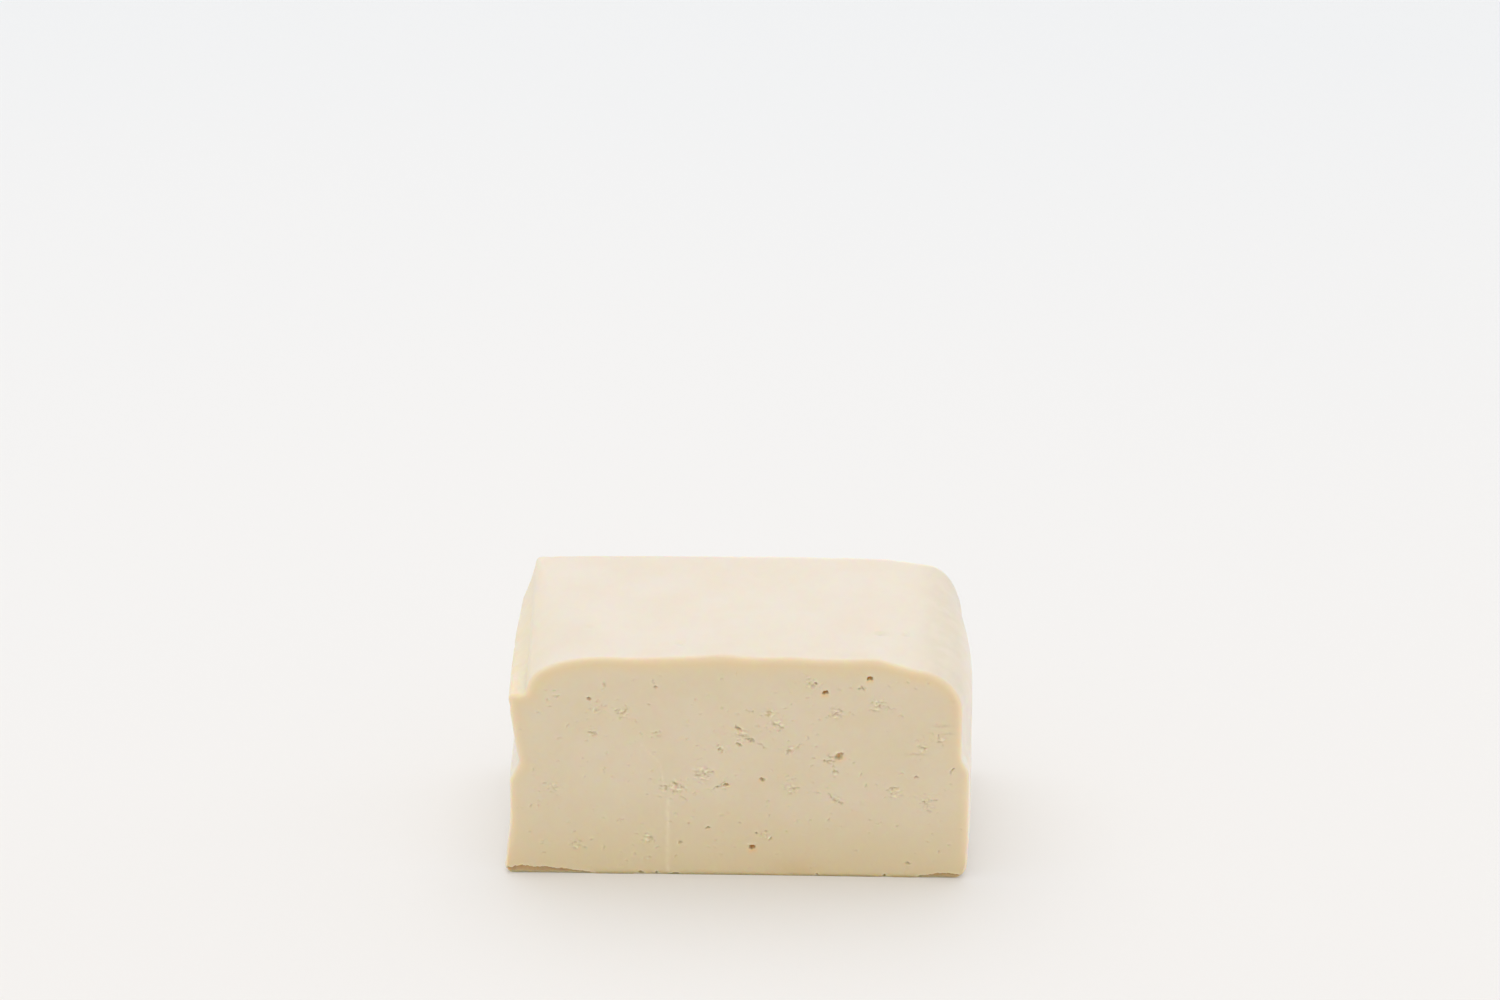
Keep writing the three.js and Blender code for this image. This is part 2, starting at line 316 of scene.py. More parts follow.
def broken_foot(points):
    """Moves what lies under the broken edge back from the cut, and in from the left wall.

    Also returns where the broken place gets its painted shade, and the pale ragged lip above it, a
    painted highlight.
    """
    x, y, z = points.T
    height = broken_height(x)
    there = smoothstep(height, *BROKEN_LEAST)
    below = there * (1.0 - smoothstep(z, height - BROKEN_SOFT, height + BROKEN_SOFT))
    up = np.clip(z / np.maximum(height, 2.0 * BROKEN_SOFT), 0.0, 1.0)
    side = np.clip((BROKEN_SIDE["from"] - x) / BROKEN_SIDE["run"], 0.0, 1.0)
    side *= BROKEN_SIDE["inset"] * np.maximum(0.0, 1.0 - y / BROKEN_SIDE["reach"])
    full = np.clip(height / BROKEN_FULL, BROKEN_LOW, 1.0)
    back = BROKEN_BACK * full * lerp(BROKEN_FLOOR, 1.0, up)
    moved = points.copy()
    moved[:, 1] += back * np.maximum(0.0, 1.0 - y / BROKEN_REACH) * below
    moved[:, 0] += side * below
    at_the_cut = 1.0 - smoothstep(y, EDGE_ROUND, BROKEN_REACH)
    above = z - height - BROKEN_LIP["above"]
    return moved, below * at_the_cut, there * bell(above, BROKEN_LIP["thickness"]) * at_the_cut


# ---------------- marks of the cut face
# Pores: x and height on the face, width, height, depth and lean in degrees.
PORES = [
    (21.68, 35.53, 1.0, 0.85, 1.15, 0),
    (20.5, 33.77, 1.5, 0.7, 0.62, -10),
    (14.47, 32.87, 1.15, 0.8, 1.3, -8),
    (12.6, 33.97, 1.9, 1.2, 0.58, 20),
    (23.4, 31.25, 2.2, 0.5, 0.5, 4),
    (24.5, 30.35, 3.4, 0.6, 0.5, -10),
    (22.5, 29.85, 1.5, 0.45, 0.45, 5),
    (15.6, 28.87, 2.4, 0.6, 0.5, 24),
    (16.7, 21.4, 1.8, 1.3, 0.9, 20),
    (14.9, 20.7, 1.7, 0.8, 0.75, 8),
    (15.9, 18.97, 0.45, 2.2, 0.45, 0),
    (2.69, 4.99, 1.2, 1.0, 1.15, 8),
    (4.31, 17.17, 1.2, 0.85, 0.9, -20),
    (0.35, 26.17, 1.7, 0.95, 0.75, -38),
    (0.5, 23.35, 1.1, 0.65, 0.75, -25),
    (2.5, 24.2, 1.5, 0.8, 0.72, -8),
    (4.3, 23.2, 1.7, 0.4, 0.48, -32),
    (-1.7, 16.17, 1.0, 0.65, 0.85, 55),
    (-2.9, 15.62, 2.2, 0.5, 0.62, 14),
    (-4.5, 18.17, 2.6, 0.8, 0.45, 10),
    (-2.43, 22.44, 1.1, 0.9, 0.5, 40),
    (-9.07, 5.77, 0.75, 0.95, 0.7, 0),
    (-9.2, 15.87, 3.0, 0.65, 0.5, -32),
    (-13.3, 34.2, 0.5, 1.1, 0.5, 15),
    (-13.0, 33.3, 0.8, 0.7, 0.6, 0),
    (-19.2, 29.0, 1.5, 0.6, 0.45, 5),
    (-21.3, 33.6, 0.6, 0.9, 0.42, 25),
    (-23.2, 25.0, 1.7, 0.7, 0.52, -15),
    (-23.89, 31.01, 0.85, 0.75, 0.62, 0),
    (-29.6, 14.7, 1.1, 0.5, 0.45, -35),
    (6.1, 27.17, 0.6, 2.0, 0.5, 30),
    (7.4, 26.27, 1.6, 0.8, 0.5, 35),
    (10.3, 23.27, 2.2, 0.5, 0.4, 28),
    (9.5, 17.37, 1.1, 0.45, 0.5, 12),
    (9.6, 15.67, 1.9, 0.5, 0.5, 0),
    (17.0, 13.17, 1.0, 0.45, 0.65, -18),
    (15.6, 14.27, 1.9, 0.5, 0.5, -38),
    (25.4, 15.97, 2.1, 0.6, 0.6, 12),
    (26.9, 18.77, 1.0, 0.5, 0.45, 5),
    (29.3, 18.12, 0.9, 0.45, 0.6, 8),
    (30.1, 23.47, 1.5, 0.6, 0.45, -25),
    (33.0, 25.27, 0.7, 1.2, 0.45, 0),
    (35.2, 19.37, 1.5, 0.5, 0.68, 36),
    (31.6, 13.87, 2.6, 0.45, 0.6, 12),
    (-4.6, 8.4, 0.8, 0.45, 0.72, 6),
    (3.4, 7.6, 0.7, 0.5, 0.68, 0),
    (5.6, 6.5, 0.9, 0.45, 0.6, 40),
    (28.1, 2.5, 0.9, 0.5, 0.58, -8),
]
# Shallow tears: x and height on the face, length and lean in degrees.
TEARS = [
    (16.8, 29.4, 1.3, 20), (18.5, 29.4, 0.8, 10), (24.5, 30.2, 1.0, -12), (22.0, 30.0, 1.1, 4),
    (26.8, 29.0, 1.0, -30), (27.8, 35.0, 0.7, -30), (29.1, 33.9, 0.8, -45),
    (-30.6, 30.7, 0.8, 80), (-29.0, 31.4, 1.4, 10), (-30.2, 29.6, 0.6, 0), (-22.8, 28.4, 0.7, 20),
    (-23.6, 29.2, 0.7, 0), (-21.6, 30.0, 0.6, 60), (-17.6, 29.6, 1.3, -50), (-18.2, 28.0, 0.8, 0),
    (-27.3, 26.2, 0.9, 60), (-24.2, 23.6, 0.6, 0), (-24.3, 19.8, 0.5, 15), (-21.4, 18.4, 1.3, 85),
    (-14.0, 30.2, 0.8, -10), (-15.3, 24.9, 1.0, 80), (-13.7, 24.4, 0.6, 0), (-12.9, 25.3, 1.6, 5),
    (-13.3, 21.8, 0.6, 0), (-7.9, 24.1, 0.6, 0), (-6.3, 23.1, 0.6, 20), (-24.9, 20.4, 0.6, 85),
    (-24.6, 17.1, 0.7, 30), (-17.5, 19.2, 0.5, 0), (-14.5, 14.2, 0.7, 0), (-6.7, 14.4, 0.9, 20),
    (-33.0, 18.3, 0.7, 70), (-31.2, 15.8, 0.9, 10), (-33.5, 11.6, 0.9, 85), (-32.3, 11.7, 0.7, 70),
    (-19.0, 9.4, 1.4, 0), (-26.4, 7.2, 0.6, 0), (-16.3, 7.0, 0.8, -20), (-13.3, 5.8, 0.8, 85),
    (-23.7, 5.9, 0.9, 0), (-31.8, 5.1, 0.8, 0), (-24.6, 4.4, 0.8, 0), (-21.6, 4.6, 0.9, 80),
    (-33.7, 7.1, 0.6, 60), (-31.5, 3.5, 0.5, 0), (-16.6, 3.4, 0.7, 80), (-9.8, 3.2, 0.9, 70),
    (-7.7, 9.1, 0.7, 0), (-3.2, 6.1, 0.6, 0), (0.6, 9.3, 0.8, 0), (-0.3, 4.8, 0.5, 0),
    (-2.2, 29.8, 0.6, 20), (0.1, 36.0, 0.8, 80), (-2.3, 35.0, 0.8, 60),
    (-8.6, 13.6, 1.6, -35), (2.2, 29.2, 1.8, -12), (4.2, 28.5, 0.7, -20), (7.9, 30.0, 0.9, 25),
    (9.0, 30.7, 0.6, 30), (8.5, 24.2, 0.6, 0), (11.7, 24.6, 1.2, 70), (8.5, 22.1, 1.4, 50),
    (13.2, 25.4, 0.6, 10), (12.6, 21.2, 0.7, 0), (12.4, 19.8, 0.9, 40), (19.1, 20.5, 0.6, 60),
    (20.3, 18.4, 0.9, 75), (21.1, 16.4, 0.9, 80), (25.1, 15.8, 0.7, 10), (26.1, 14.7, 0.7, 60),
    (24.3, 14.3, 0.5, 30), (30.1, 13.4, 0.9, 15), (31.4, 12.0, 0.9, -10), (13.2, 14.9, 1.2, -8),
    (21.9, 10.3, 0.7, 10), (23.3, 9.6, 1.2, 15), (26.3, 9.2, 0.8, 20), (12.2, 9.9, 1.1, 40),
    (15.2, 10.2, 0.9, 60), (5.4, 10.8, 0.6, 80), (5.7, 6.6, 1.1, 40), (3.5, 7.6, 0.6, 0),
    (-4.5, 8.4, 1.1, 6), (-14.6, 7.1, 0.8, 0), (-15.2, 5.8, 0.8, 0), (-27.1, 5.0, 0.9, 10),
    (-21.6, 9.8, 0.8, 0), (32.0, 8.0, 0.6, 0), (31.3, 6.5, 0.9, -15), (34.8, 6.0, 0.8, 0),
    (28.1, 2.5, 1.3, -8), (33.2, 4.7, 0.9, 70),
]
# How deep and how high a tear is: a least amount, and a share of its length on top.
TEAR_DEPTH = (0.21, 0.13)
TEAR_HEIGHT = (0.24, 0.24)
WHOLE_BELOW = 0.95  # a mark that is shorter than this stays in one piece
WHOLE_DEEP = 1.0  # and so does one that is deeper than this, but for two small dents at its side
SLENDER = 1.95  # a mark is slender from this many times its height
# A mark's main dent as shares of its width, its height and its depth, slender or not.
MAIN_DENT = {"width": 0.9, "height": 0.85, "slender_depth": 0.55, "depth": 0.85}
# The smaller dents along it as shares: of its height, of their own height, of its depth.
SMALL_DENTS = {"height": (0.4, 0.85), "width": (1.0, 1.8), "depth": (0.45, 1.1), "lean": 30.0}
SMALLER = 0.6  # how much smaller those beside a deep mark are
PINHOLES = {"count": 460, "size": (0.3, 0.7), "depth": 0.36, "lean": 40.0, "strewn": 1.2}
PINHOLE_AREA = ((-37.0, 37.0), (1.0, 36.5))
PINHOLE_WIDTH, PINHOLE_HEIGHT = (1.0, 1.6), (0.5, 1.0)  # as shares of its size
MARK_SEED = 11

# Where the curd has crumbled under the knife: x, height and radius.
CRUMBLED = [
    (12.4, 34.3, 1.5), (23.0, 30.9, 2.0), (16.4, 29.2, 1.7), (5.4, 29.2, 1.3), (6.8, 26.9, 1.7),
    (1.2, 24.9, 1.8), (-2.5, 22.7, 1.3), (8.8, 22.5, 1.3), (15.6, 21.0, 1.6), (16.2, 18.8, 1.0),
    (-5.4, 18.0, 2.1), (-9.8, 15.6, 2.0), (-1.9, 16.2, 1.4), (-18.4, 28.6, 1.5),
    (-23.3, 25.0, 1.2), (-22.6, 29.0, 1.1), (-11.8, 15.4, 1.2), (-26.0, 5.0, 1.6),
    (-29.8, 15.3, 1.2), (25.9, 15.2, 1.6), (31.0, 13.4, 2.1), (33.2, 24.8, 1.1),
    (30.3, 23.2, 1.0), (16.6, 13.6, 1.3), (8.9, 15.6, 1.6), (4.8, 7.2, 1.4), (-14.3, 6.2, 1.3),
]
CRUMB_SIZE = 0.62
CRUMB_STRETCH = (0.75, 1.2, 1.0)
CRUMB_HEIGHT = 0.2
CRUMB_CORE = 0.3  # the share of the radius within which the curd is fully crumbled
CRUMB_SHADE = {"from": 0.12, "to": 0.6, "share": 0.4}  # how dark the painted shade in the hollows between crumbs is
CRUMB_LIP = (0.12, 0.5)  # and from where to where a crumb counts as raised, and gets the painted highlight

# The crack in the left half runs down in short bends, and a knife streak goes on below it.
CRACK = np.array([(-15.5, 23.2), (-13.5, 21.1), (-12.4, 20.0), (-11.9, 17.3), (-11.8, 15.9)])
CRACK_WIDTH = 0.16
CRACK_HEIGHT = 0.07
STREAK = {"x": -11.05, "top": 13.9, "width": 0.22, "height": 0.035}
# Level scratches of the knife: x, height and length.
SCRATCHES = [
    (33.7, 27.2, 6.5), (35.2, 31.6, 3.0), (34.6, 25.9, 3.4), (-12.5, 24.6, 1.8), (20.0, 13.2, 3.6),
    (29.0, 22.2, 6.0),
]
SCRATCH_DEPTH = 0.17
SCRATCH_WIDTH = 0.2
SCRATCH_WANDER = 0.15

WARP = ((0.8, 0.2), (0.3, 0.1))  # how far the pores' outlines wander: feature size, reach
MARK_REACH = 1.2  # how far beside a mark it is worked out
MARK_ENDS = (0.6, 1.6)  # where its lip and glow run out sideways, in half widths
UNEVEN_SIZE, UNEVEN_FLOOR = 0.55, 0.35
ONE_SIDED = 1.5  # from this many times its height a mark slopes up from under its upper edge
SLOPE = (-1.1, 0.5)  # where that slope begins and ends, in half heights
LIP = {"height": 0.088, "above": 0.08, "thickness": 0.19, "per_depth": 2.5, "off": 0.1}
LIP_UNEVEN = {"share": 0.65, "more": 0.9, "most": 1.3}
# Where light shines through the curd under a deep pore, and the depths at which it sets in.
GLOW = {"thickness": 0.35, "below": 0.1, "depths": (0.6, 1.0)}
SHALLOW, DEEP = 0.4, 0.9  # depths of a shallow mark and a deep one
DARK = 0.74  # the depth by which a mark's inside has the full colour of its painted shade
SHALLOW_DARK = 0.45  # how dark the painted shade inside a shallow mark is
OPENED = (0.46, 0.72)  # how much of its depth a shallow and a deep mark shows: the curd closes up
HOLLOW = ((0.1, 1.2), (0.45, 1.05))  # where the sides of a shallow and a deep mark end and begin
# Broad swells, grain and the knife's strokes over the whole face: feature size and height.
SWELL_SIZE, SWELL_HEIGHT = 9.0, 0.09
GRAIN_SIZE, GRAIN_HEIGHT = 0.9, 0.04
STROKE_SIZE, STROKE_HEIGHT = (26.0, 0.5), 0.014
SEEDS = {"warp": (20, 30), "uneven": 40, "swell": 50, "grain": 51, "strokes": 52, "crumbs": 53}


def broken_up(mark, random):
    """A mark as one shallow dent with smaller dents along it, so that its outline is ragged."""
    x, z, width, height, deep, lean = mark
    if height > width:
        width, height, lean = height, width, lean + 90.0
    if width < WHOLE_BELOW:
        return [(x, z, width, height, deep, lean)]
    turn = math.radians(lean)
    main = (MAIN_DENT["width"] * width, MAIN_DENT["height"] * height)
    smaller = 1.0
    if deep > WHOLE_DEEP:
        dents = [mark]
        count = 2
        smaller = SMALLER
    elif width > SLENDER * height:
        dents = [(x, z, *main, deep * MAIN_DENT["slender_depth"], lean)]
        count = 2 + round(width / (0.8 * height))
    else:
        dents = [(x, z, *main, deep * MAIN_DENT["depth"], lean)]
        count = 3
    for number in range(count):
        size = smaller * height * random.uniform(*SMALL_DENTS["height"])
        along = (width - size) * ((number + random.random()) / count - 0.5)
        across = (height - 0.6 * size) * random.uniform(-0.5, 0.5)
        dents.append((
            x + along * math.cos(turn) - across * math.sin(turn),
            z + along * math.sin(turn) + across * math.cos(turn),
            size * random.uniform(*SMALL_DENTS["width"]),
            size,
            deep * random.uniform(*SMALL_DENTS["depth"]),
            lean + random.uniform(-SMALL_DENTS["lean"], SMALL_DENTS["lean"]),
        ))
    return dents


def face_marks():
    """All dents of the cut face as rows of x, height, width, height, depth and lean."""
    random = np.random.default_rng(MARK_SEED)
    marks = [*PORES]
    for x, z, length, lean in TEARS:
        height = TEAR_HEIGHT[0] + TEAR_HEIGHT[1] * length
        marks.append((x, z, length, height, TEAR_DEPTH[0] + TEAR_DEPTH[1] * length, lean))
    rows = [dent for mark in marks for dent in broken_up(mark, random)]
    for number in range(PINHOLES["count"]):
        x, z = [random.uniform(*limits) for limits in PINHOLE_AREA]
        if number % 2:
            x, z, radius = CRUMBLED[random.integers(len(CRUMBLED))]
            x, z = random.normal((x, z), PINHOLES["strewn"] * radius)
        size = lerp(*PINHOLES["size"], random.random() ** 2)
        width = size * random.uniform(*PINHOLE_WIDTH)
        height = size * random.uniform(*PINHOLE_HEIGHT)
        lean = random.uniform(-PINHOLES["lean"], PINHOLES["lean"])
        rows.append((x, z, width, height, size * PINHOLES["depth"], lean))
    return np.array(rows)


MARKS = face_marks()


def turned(points, x, y, lean):
    """Points as seen from a mark at (x, y): along its width and across it."""
    lean = math.radians(lean)
    dx, dy = points[:, 0] - x, points[:, 1] - y
    along = dx * math.cos(lean) + dy * math.sin(lean)
    return along, dy * math.cos(lean) - dx * math.sin(lean)


def near(points, place, reach):
    return np.flatnonzero(np.abs(points - np.asarray(place)).max(axis=1) < reach)


def wanted_gap(points):
    """How far apart the mesh's points may lie at each place on the cut face."""
    gap = np.full(len(points), 4.0 * FACE_GAP)
    for x, z, width, height, _, lean in MARKS:
        found = near(points, (x, z), max(width, height) / 2.0 + FACE_AROUND)
        along, across = turned(points[found], x, z, lean)
        share = np.maximum(np.hypot(along * 2.0 / width, across * 2.0 / height), 1.0)
        away = np.hypot(along, across) * (1.0 - 1.0 / share)
        gap[found] = np.minimum(gap[found], FACE_GAP + FACE_GRADE * away)
    for x, z, radius in CRUMBLED:
        found = near(points, (x, z), radius)
        gap[found] = np.minimum(gap[found], FACE_GAP)
    height = broken_height(points[:, 0])
    low = points[:, 1] < height + FACE_FOOT["above"]
    gap[(height > FACE_FOOT["least"]) & low] = FACE_GAP
    return gap


def face_lattice(low, high):
    """A lattice that is fine at the marks and coarse between them, a little out of line."""
    columns, rows = np.ceil((high - low) / FACE_GAP).astype(int)
    i, j = [index.ravel() for index in np.mgrid[0:columns, 0:rows]]
    points = low + FACE_GAP * np.stack([i, j], axis=1)
    gap = wanted_gap(points)
    fine = gap < 1.5 * FACE_GAP
    middle = gap < 3.0 * FACE_GAP
    every_second = (i % 2 == 0) & (j % 2 == 0)
    every_fourth = (i % 4 == 0) & (j % 4 == 0)
    kept = every_fourth | (every_second & middle) | fine
    step = np.where(fine, 1.0, np.where(middle, 2.0, 4.0))[kept]
    random = np.random.default_rng(FACE_SHIFT["seed"])
    shift = random.uniform(-FACE_SHIFT["most"], FACE_SHIFT["most"], (kept.sum(), 2))
    return points[kept] + shift * FACE_GAP * step[:, None]


def inside(points, outline):
    """Which points lie within a closed outline."""
    found = np.zeros(len(points), bool)
    for (x0, z0), (x1, z1) in zip(outline, np.roll(outline, -1, axis=0)):
        if z0 == z1:
            continue
        crosses = (points[:, 1] < z0) != (points[:, 1] < z1)
        found ^= crosses & (points[:, 0] < x0 + (points[:, 1] - z0) * (x1 - x0) / (z1 - z0))
    return found


def closed(outline):
    return np.concatenate([outline, outline[:1]])


def distance_to(points, path):
    """The distance from each point to the nearest stretch of a path."""
    nearest = np.full(len(points), np.inf)
    for start, end in zip(path[:-1], path[1:]):
        along = end - start
        share = np.clip((points - start) @ along / max(along @ along, 1e-9), 0.0, 1.0)
        gap = points - start - share[:, None] * along
        nearest = np.minimum(nearest, np.hypot(gap[:, 0], gap[:, 1]))
    return nearest


def filled(outline, points, clear):
    """Triangles over an outline, whose points come first, and the points kept inside it."""
    points = points[inside(points, outline)]
    points = points[distance_to(points, closed(outline)) > clear]
    flat = [Vector(p) for p in np.concatenate([outline, points]).tolist()]
    boundary = list(range(len(outline)))
    found, _, faces, origins, _, _ = delaunay_2d_cdt(flat, [], [boundary], 1, SAME)
    if len(found) != len(flat):
        raise ValueError("the outline crosses itself")
    source = [first[0] for first in origins]
    return [[source[corner] for corner in face] for face in faces], points


def dug_marks(points, moved, uneven):
    """The depth of the pores and tears, the raised lips above them and the glow below.

    A slit is deepest under its upper edge and slopes back up to the face below that.
    """
    depth = np.zeros(len(points))
    lip = np.zeros(len(points))
    glow = np.zeros(len(points))
    for x, z, width, height, full, lean in MARKS:
        half_width, half_height = width / 2.0, height / 2.0
        deepness = smoothstep(full, SHALLOW, DEEP)
        deep = full * lerp(*OPENED, deepness)
        found = near(points, (x, z), half_width + MARK_REACH)
        along, across = turned(moved[found], x, z, lean)
        share = np.hypot(along / half_width, across / half_height)
        hole = 1.0 - smoothstep(share, *lerp(*np.array(HOLLOW), deepness))
        if width > WHOLE_BELOW and (width > ONE_SIDED * height or deep < SHALLOW):
            hole = hole * smoothstep(across / half_height, *SLOPE)
        floor = deep * hole * (1.0 + UNEVEN_FLOOR * uneven[found])
        depth[found] = np.maximum(depth[found], floor)
        ends = 1.0 - smoothstep(np.abs(along) / half_width, *MARK_ENDS)
        flap = ends * bell(across - half_height - LIP["above"], LIP["thickness"])
        lip[found] = np.maximum(lip[found], flap * min(1.0, LIP["per_depth"] * deep))
        lit = ends * bell(across + half_height + GLOW["below"], GLOW["thickness"])
        glow[found] = np.maximum(glow[found], lit * smoothstep(full, *GLOW["depths"]))
    thick = np.clip(LIP_UNEVEN["share"] + LIP_UNEVEN["more"] * uneven, 0.0, LIP_UNEVEN["most"])
    return depth, lip * thick * (depth < LIP["off"]), glow


def crumbled_places(points, moved):
    """How crumbled the curd is at each place, from 0 to 1."""
    crumbled = np.zeros(len(points))
    for x, z, radius in CRUMBLED:
        found = near(points, (x, z), 2.0 * radius)
        away = np.hypot(*(moved[found] - (x, z)).T)
        here = 1.0 - smoothstep(away, CRUMB_CORE * radius, radius)
        crumbled[found] = np.maximum(crumbled[found], here)
    return crumbled


def knife_lines(points, moved, uneven):
    """The depth of the scratches, the height of the crack and the streak, and how pale they are: a
    painted highlight along them.
    """
    crack = bell(distance_to(moved, CRACK), CRACK_WIDTH) * np.clip(0.5 + uneven, 0.0, 1.0)
    streak = bell(points[:, 0] - STREAK["x"], STREAK["width"])
    streak *= smoothstep(STREAK["top"] - points[:, 1], 0.0, 1.0)
    scratch = np.zeros(len(points))
    for x, z, length in SCRATCHES:
        line = bell(points[:, 1] - z - SCRATCH_WANDER * uneven, SCRATCH_WIDTH)
        scratch += SCRATCH_DEPTH * line * bell(points[:, 0] - x, length / 2.0) ** 2
    return scratch, CRACK_HEIGHT * crack + STREAK["height"] * streak, np.maximum(crack, streak)


def face_relief(points):
    """How far each place on the cut face lies behind its plane, and the marks' masks there: painted
    shade, painted highlight, how crumbled the curd is, and painted glow.
    """
    flat = np.column_stack([points, np.zeros(len(points))])
    moved = points.copy()
    for number, (size, reach) in enumerate(WARP):
        for column, seed in enumerate(SEEDS["warp"]):
            moved[:, column] += reach * ripple(flat, size, seed + number)
    uneven = ripple(flat, UNEVEN_SIZE, SEEDS["uneven"], 3)

    depth, lip, glow = dug_marks(points, moved, uneven)
    crumbled = crumbled_places(points, moved)
    crumbs = crumbled * ripple(flat * CRUMB_STRETCH, CRUMB_SIZE, SEEDS["crumbs"], 3)
    scratch, raised, lines = knife_lines(points, moved, uneven)
    depth = np.maximum(depth, scratch)
    # Painted shade: the deeper a mark, the darker its colour, and the hollows between crumbs too.
    hollow_shade = SHALLOW_DARK * smoothstep(depth, 0.0, SHALLOW)
    hollow_shade += (1.0 - SHALLOW_DARK) * smoothstep(depth, SHALLOW, DARK)
    between_crumbs = smoothstep(crumbs, CRUMB_SHADE["from"], CRUMB_SHADE["to"])
    hollow_shade = np.maximum(hollow_shade, CRUMB_SHADE["share"] * between_crumbs)
    lip = np.maximum(lip, smoothstep(-crumbs, *CRUMB_LIP))

    strokes = flat / [*STROKE_SIZE, 1.0]
    depth = depth - raised - LIP["height"] * lip + CRUMB_HEIGHT * crumbs
    depth += SWELL_HEIGHT * ripple(flat, SWELL_SIZE, SEEDS["swell"])
    depth += GRAIN_HEIGHT * ripple(flat, GRAIN_SIZE, SEEDS["grain"], 3)
    depth += STROKE_HEIGHT * ripple(strokes, 1.0, SEEDS["strokes"], 2)
    return depth, hollow_shade, np.clip(np.maximum(lip, lines), 0.0, 1.0), crumbled, glow


# ---------------- marks of the skin
# Small dents in the top: x, distance behind the cut, length, lean and depth.
TOP_DENTS = [
    (23.0, 11.0, 2.0, 10, 0.5), (27.1, 12.5, 1.3, 0, 0.42), (-9.4, 5.6, 1.8, -35, 0.45),
    (-24.4, 11.6, 1.5, 5, 0.3), (-32.8, 40.9, 1.4, 10, 0.5),
]
DENT_NARROW = 1.7  # how many times as long as wide they are
DENT_LEVEL = (HEIGHT - 2.5, HEIGHT - 1.0)  # they reach no lower than this
# Small dents strewn over the walls and the end.
NICK_AREA = {"behind": 5.0, "above": 3.0, "below": 33.0}
SKIN_NICKS = {"count": 34, "size": (0.5, 1.1), "depth": 0.13, "reach": 0.6, "seed": 4}
NICK_STRETCH = ((0.5, 1.0), (0.5, 1.0), (0.8, 1.6))
SKIN_SWELLS = ((15.0, 0.1), (6.0, 0.045), (2.2, 0.018))  # feature size and height
SKIN_SEEDS = {"swells": 60, "wrinkles": 70}
WRINKLES = {"size": (6.0, 2.6, 17.0), "height": 0.18, "narrow": (0.86, 1.0), "fade": (28.0, 36.0)}
SKIN_LOW = (0.4, 3.0)  # the heights between which the relief sets in above the table


def skin_relief(points):
    """How far the skin stands out: broad swells, film wrinkles on the walls, small dents."""
    z = points[:, 2]
    height = sum(
        size * ripple(points, reach, SKIN_SEEDS["swells"] + number)
        for number, (reach, size) in enumerate(SKIN_SWELLS)
    )
    ridges = 1.0 - np.abs(ripple(points / WRINKLES["size"], 1.0, SKIN_SEEDS["wrinkles"], 2))
    on_walls = 1.0 - smoothstep(z, *WRINKLES["fade"])
    height -= WRINKLES["height"] * on_walls * smoothstep(ridges, *WRINKLES["narrow"])
    on_top = smoothstep(z, *DENT_LEVEL)
    for x, back, length, lean, deep in TOP_DENTS:
        along, across = turned(points[:, :2], x, back, lean)
        dent = bell(np.hypot(along, DENT_NARROW * across), length / 2.0)
        height -= deep * dent * on_top
    random = np.random.default_rng(SKIN_NICKS["seed"])
    there = (points[:, 1] > NICK_AREA["behind"]) & (z > NICK_AREA["above"])
    behind = np.flatnonzero(there & (z < NICK_AREA["below"]))
    for place in points[random.choice(behind, SKIN_NICKS["count"])]:
        size = random.uniform(*SKIN_NICKS["size"])
        stretch = np.array([random.uniform(*limits) for limits in NICK_STRETCH])
        away = np.linalg.norm((points - place) * stretch, axis=1)
        height -= SKIN_NICKS["depth"] * size * bell(away, SKIN_NICKS["reach"] * size)
    return height * smoothstep(z, *SKIN_LOW)


def corner_normals(points, faces):
    """Vertex normals, weighted by the faces' areas."""
    normals = np.zeros_like(points)
    for count in (3, 4):
        chosen = np.array([face for face in faces if len(face) == count])
        if not len(chosen):
            continue
        first, second, last = [points[chosen[:, i]] - points[chosen[:, 0]] for i in (1, 2, -1)]
        facing = np.cross(first, second)
        if count == 4:
            facing = np.cross(second, last) + facing
        for column in range(count):
            np.add.at(normals, chosen[:, column], facing)
    return normals / np.maximum(np.linalg.norm(normals, axis=1), 1e-12)[:, None]


# ---------------- the block as one mesh
RIM_HOLD = 0.5  # the marks set in this far inside the rim
RIM_FADE = 1.3  # how far the light that the edge lets through reaches into the face
RIM_LOW = 6.0  # the height below which that light fades
FOOT_SHADE_HEIGHTS = (0.1, 0.7)  # between them the curd is painted browner: painted shade at the foot
STAIN = {"x": 9.7, "width": 3.6, "height": 4.5, "share": 0.4}
# Where light and shade are painted into the skin's colour: painted light on the ledge, measured from
# its outer edge, painted shade at the turn of the right shoulder, painted light on the walls, and a
# painted highlight on the far edge of the top.
LEDGE_GLOW = {"inner": 1.0, "outer": 8.0, "above": 1.0, "height": 5.5}
SHOULDER_SHADE = {"in": (28.0, 33.0), "out": (35.5, 37.5), "up": (24.0, 31.0)}
WALL_LIGHT = {"out": (34.5, 36.5), "up": (28.0, 35.0)}
EDGE_HIGHLIGHT = {
    "back": (DEPTH - 2.0 * END_ROUND, DEPTH - END_ROUND / 2.0),
    "up": (HEIGHT - 4.0, HEIGHT - 1.0),
}


def upright(flat, back):
    """Points of a section's plane as points in space, at a distance behind the cut."""
    return np.column_stack([flat[:, 0], np.broadcast_to(back, len(flat)), flat[:, 1]])


def end_grid(outline):
    """A grid of staggered points over the moulded end."""
    low, high = outline.min(axis=0), outline.max(axis=0)
    columns, rows = np.ceil((high - low) / END_GAP).astype(int)
    grid = low + END_GAP * np.stack(np.mgrid[0:columns, 0:rows], axis=-1).reshape(-1, 2)
    grid[:, 0] += END_GAP / 2.0 * (np.arange(len(grid)) % 2)
    return grid


